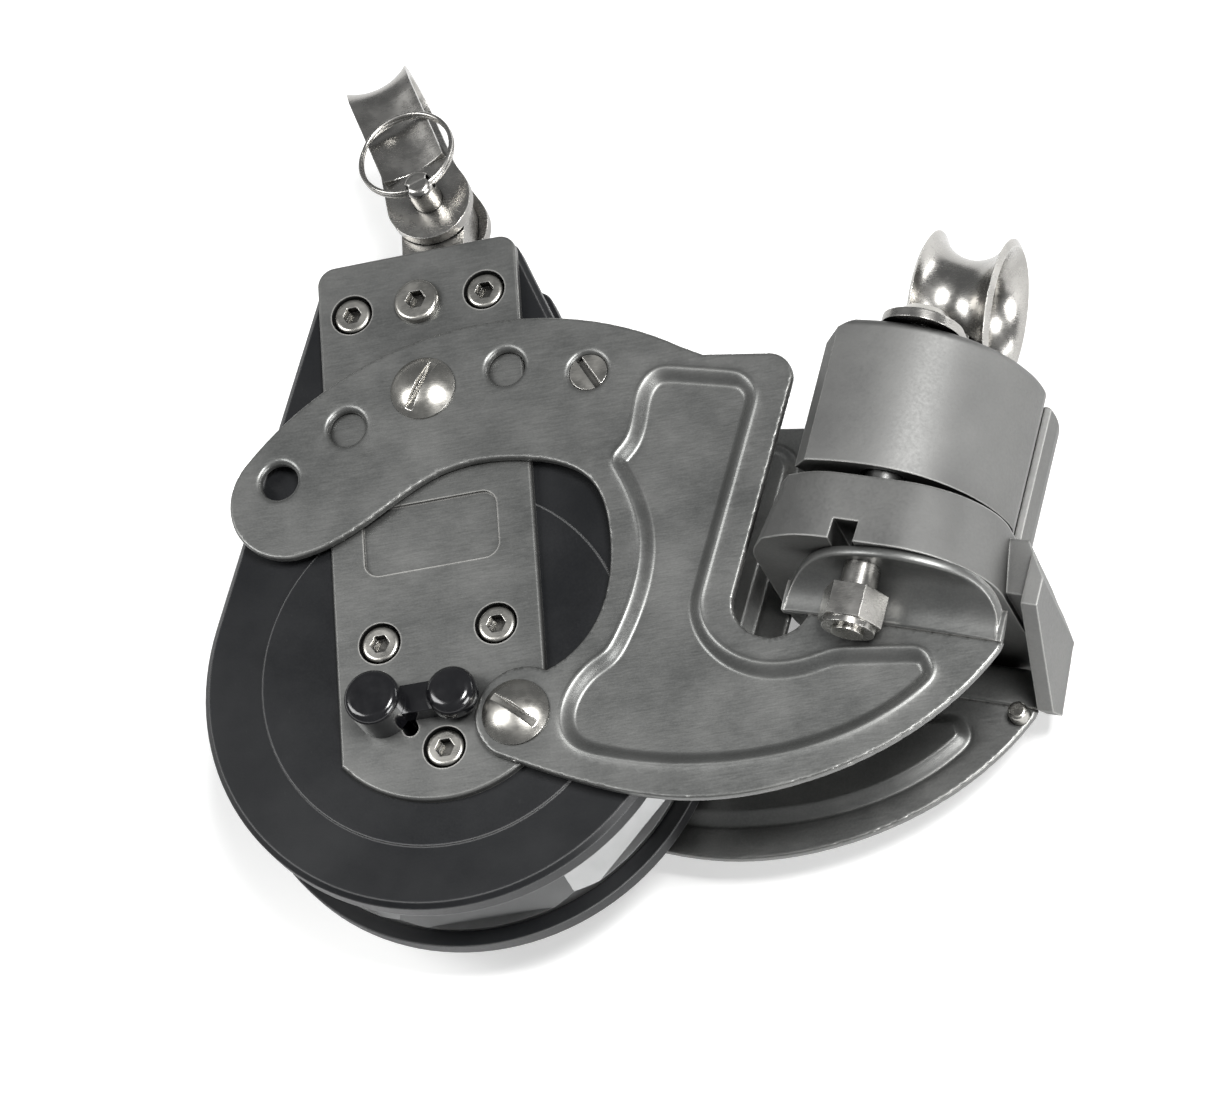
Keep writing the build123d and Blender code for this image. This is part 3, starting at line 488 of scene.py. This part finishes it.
def flange_section(u):
    """The flange's cross-section at a station u, as (z, w) from its concave side round to its convex side."""
    turn = (FLANGE_HALF**2 + FLANGE_DEEP**2) / (2 * FLANGE_DEEP)
    centre_z = ARM_OUT - ARM_T + FLANGE_DEEP - turn
    reach = centre_z + math.sqrt(max(turn**2 - (u - FLANGE_U) ** 2, 0))
    reach = max(reach, ARM_OUT + 0.3)
    middle_z = ARM_OUT + FOLD_R
    sides = []
    for radius in (FOLD_R, FOLD_R + ARM_T):
        stop = reach - TIP_R
        straight = 4 if stop > middle_z else 0
        bends = FOLD_STEPS - straight
        last = math.pi / 2 if straight else math.acos(max(-1.0, (stop - middle_z) / radius))
        angles = [math.pi + (last - math.pi) * k / bends for k in range(bends + 1)]
        arc = [(middle_z + radius * math.cos(a), FOLD_W + radius * math.sin(a)) for a in angles]
        steps = range(1, straight + 1)
        arc += [(middle_z + (stop - middle_z) * k / straight, FOLD_W + radius) for k in steps]
        sides.append(arc)
    inner, outer = sides
    a, b = np.array(inner[-1]), np.array(outer[-1])
    middle = (a + b) / 2
    tip = [tuple(middle + (a - middle) * math.cos(t) + np.array((TIP_R, 0)) * math.sin(t))
           for t in (math.pi * k / 6 for k in range(1, 6))]
    return inner + tip + outer[::-1]


def open_edges(triangles):
    """The directed edges that only one triangle uses."""
    used = dict.fromkeys((a, b) for t in triangles for a, b in zip(t, [*t[1:], t[0]]))
    return [(a, b) for a, b in used if (b, a) not in used]


def add_object(mesh, name, slot):
    """Turns a bmesh into a smooth object with the finish of a slot."""
    bmesh.ops.recalc_face_normals(mesh, faces=mesh.faces)
    data = bpy.data.meshes.new(name)
    mesh.to_mesh(data)
    mesh.free()
    data.materials.append(finishes[slot])
    for poly in data.polygons:
        poly.use_smooth = True
    obj = bpy.data.objects.new(name, data)
    bpy.context.scene.collection.objects.link(obj)
    return obj


def build_arm(name, side):
    """The embossed side plate with its folded flange, from the outlines of the CAD node."""
    loops = sorted(top_face_loops(nodes[name], side * ARM_OUT), key=lambda loop: -abs(area(loop)))
    outline, holes = resample(loops[0], RIM_STEP), [resample(loop, RIM_STEP) for loop in loops[2:]]
    panel = resample(relaxed(resample(loops[1], RIM_STEP / 2, False), PANEL_ROUNDS), PANEL_STEP, False)
    spots, triangles, drop, over, under = plate_mesh(outline, holes, panel)
    ordered = [t if side > 0 else t[::-1] for t in triangles]
    mesh = bmesh.new()
    layers = []
    for height in (ARM_OUT + drop - over, ARM_OUT - ARM_T + drop + under):
        layers.append([mesh.verts.new((x * MM, y * MM, side * z * MM)) for (x, y), z in zip(spots, height)])
    top, bottom = layers
    for t in ordered:
        mesh.faces.new([top[i] for i in t])
        mesh.faces.new([bottom[i] for i in t[::-1]])
    for a, b in open_edges(ordered):
        mesh.faces.new([top[b], top[a], bottom[a], bottom[b]])
    add_flange(mesh, side)
    arm = add_object(mesh, name + "_pressed", "plate_steel")
    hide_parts(name)
    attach(arm, "arm")


def add_flange(mesh, side):
    """The curved D-shaped flange that carries the cleat, standing on the fold line."""
    first, last = FLANGE_U - FLANGE_HALF + 0.5, FLANGE_U + FLANGE_HALF - 0.2
    rows = []
    for k in range(FLANGE_ROWS + 1):
        u = first + (last - first) * (1 - math.cos(math.pi * k / FLANGE_ROWS)) / 2
        rows.append([mesh.verts.new((U * u * MM + W * w * MM) + Vector((0, 0, side * z * MM)))
                     for z, w in flange_section(u)])
    for a, b in zip(rows, rows[1:]):
        for k in range(len(a)):
            n = (k + 1) % len(a)
            mesh.faces.new([a[k], a[n], b[n], b[k]])
    mesh.faces.new(rows[0])
    mesh.faces.new(rows[-1][::-1])


build_arm("near_arm", 1)
build_arm("far_arm", -1)


# ---------------------------------------------------------------- split ring
def build_split_ring():
    """Two close turns of wire whose ends lie flat against the ring, in the place of the plain CAD ring."""
    spots = np.array([v.co for v in nodes["cotter_ring"].data.vertices])
    centre = spots.mean(axis=0)
    _, _, axes = np.linalg.svd(spots - centre, full_matrices=False)
    across, up, axis = axes
    half = np.abs((spots - centre) @ axis).max()
    mean = np.abs((spots - centre) @ across).max() - half
    wire = half * 0.5
    turns, stations, sides = 1.96, 220, 14
    mesh = bmesh.new()
    rows = []
    for k in range(stations + 1):
        part = k / stations
        angle = 2 * math.pi * turns * part + 0.9
        lift = (2 * smooth_step(np.array((part - 0.44) / 0.12)) - 1) * wire * 0.98
        taper = min(1.0, 0.35 + 14 * min(part, 1 - part))
        out = across * math.cos(angle) + up * math.sin(angle)
        middle = centre + out * (mean + wire * 0.9) + axis * lift
        rows.append([mesh.verts.new(middle + wire * taper * (out * math.cos(t) + axis * math.sin(t)))
                     for t in (2 * math.pi * n / sides for n in range(sides))])
    for a, b in zip(rows, rows[1:]):
        for k in range(sides):
            n = (k + 1) % sides
            mesh.faces.new([a[k], a[n], b[n], b[k]])
    mesh.faces.new(rows[0])
    mesh.faces.new(rows[-1][::-1])
    ring = add_object(mesh, "split_ring", "bright_steel")
    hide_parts("cotter_ring")
    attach(ring, "shackle")


build_split_ring()


# ---------------------------------------------------------------- floor, light and camera
FLOOR_GAP = 0.0002      # how far the floor lies under the part
FLOOR_REACH = 3.0


def add_floor():
    """A plain pale surface under the part, large enough to fill every view."""
    s = Shader("pale_floor")
    path = s.add("ShaderNodeLightPath")
    colour = s.mix(s.noise(4, 3), (0.86, 0.86, 0.85), (0.89, 0.89, 0.88))
    colour = s.mix(path.outputs["Is Glossy Ray"], colour, (0.75, 0.75, 0.75))
    s.principled.inputs["Emission Color"].default_value = (1, 1, 1, 1)
    s.put(s.principled.inputs["Emission Strength"], s.ramp(path.outputs["Is Camera Ray"], 0, 1, 0, 0.35))
    s.bump((s.noise(300, 3), 0.00002, 0.1))
    material = s.finish(colour, s.ramp(s.noise(20, 3), 0.3, 0.7, 0.55, 0.65), 0.0, Specular_IOR_Level=0.2)
    mesh = bpy.data.meshes.new("floor")
    level = cad_box[0][2] - FLOOR_GAP
    rim = [(-1, -1), (1, -1), (1, 1), (-1, 1)]
    mesh.from_pydata([(x * FLOOR_REACH, y * FLOOR_REACH, level) for x, y in rim], [], [(0, 1, 2, 3)])
    floor = bpy.data.objects.new("floor", mesh)
    mesh.materials.append(material)
    bpy.context.scene.collection.objects.link(floor)


def direction(azimuth, elevation):
    """The unit vector towards an azimuth (0 is -Y, positive to +X) and elevation, in degrees."""
    a, e = math.radians(azimuth), math.radians(elevation)
    return Vector((math.sin(a) * math.cos(e), -math.cos(a) * math.cos(e), math.sin(e)))


def add_area(name, azimuth, elevation, distance, size, power, target):
    """A soft rectangular light that faces the target."""
    light = bpy.data.lights.new(name, "AREA")
    light.shape = "RECTANGLE"
    light.size, light.size_y = size
    light.energy = power
    obj = bpy.data.objects.new(name, light)
    away = direction(azimuth, elevation)
    obj.location = target + away * distance
    obj.rotation_euler = away.to_track_quat("Z", "Y").to_euler()
    bpy.context.scene.collection.objects.link(obj)


def add_lights():
    """A high key, softer sides and a dim surround, with nothing where the flat plates mirror the camera."""
    target = (Vector(cad_box[0]) + Vector(cad_box[1])) / 2
    add_area("key", 78, 68, 1.1, (0.3, 0.3), 14, target)
    add_area("front", 50, 20, 1.0, (0.45, 0.35), 6, target)
    add_area("right", 108, 6, 1.0, (0.4, 0.12), 1.6, target)
    add_area("left", -95, 50, 0.9, (0.3, 0.5), 4, target)
    world = bpy.data.worlds.new("studio")
    bpy.context.scene.world = world
    world.use_nodes = True
    background = world.node_tree.nodes["Background"]
    background.inputs["Color"].default_value = (0.96, 0.98, 1.0, 1)
    background.inputs["Strength"].default_value = 0.2


def add_camera():
    """The camera stands 0.7 m away and looks steeply down at the switch side, slightly rolled."""
    azimuth, elevation, roll = 27.79, 62.46, math.radians(-4.45)
    distance, shift_right, shift_up = 0.7, 0.02593, 0.01697
    cheek_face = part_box("near_cheek")[1].z
    back = direction(azimuth, elevation)
    right = (-back).cross(Vector((0, 1, 0))).normalized()
    up = right.cross(-back)
    right, up = (math.cos(roll) * right + math.sin(roll) * up, math.cos(roll) * up - math.sin(roll) * right)
    data = bpy.data.cameras.new("camera")
    data.lens = 131.9
    data.sensor_width = 36.0
    data.clip_start = 0.01
    camera = bpy.data.objects.new("camera", data)
    place = Vector((0, 0, cheek_face)) + back * distance + right * shift_right + up * shift_up
    turn = Matrix((right, up, back)).transposed().to_4x4()
    camera.matrix_world = Matrix.Translation(place) @ turn
    bpy.context.scene.collection.objects.link(camera)
    bpy.context.scene.camera = camera


add_floor()
add_lights()
add_camera()
bpy.context.scene.view_settings.view_transform = "Standard"
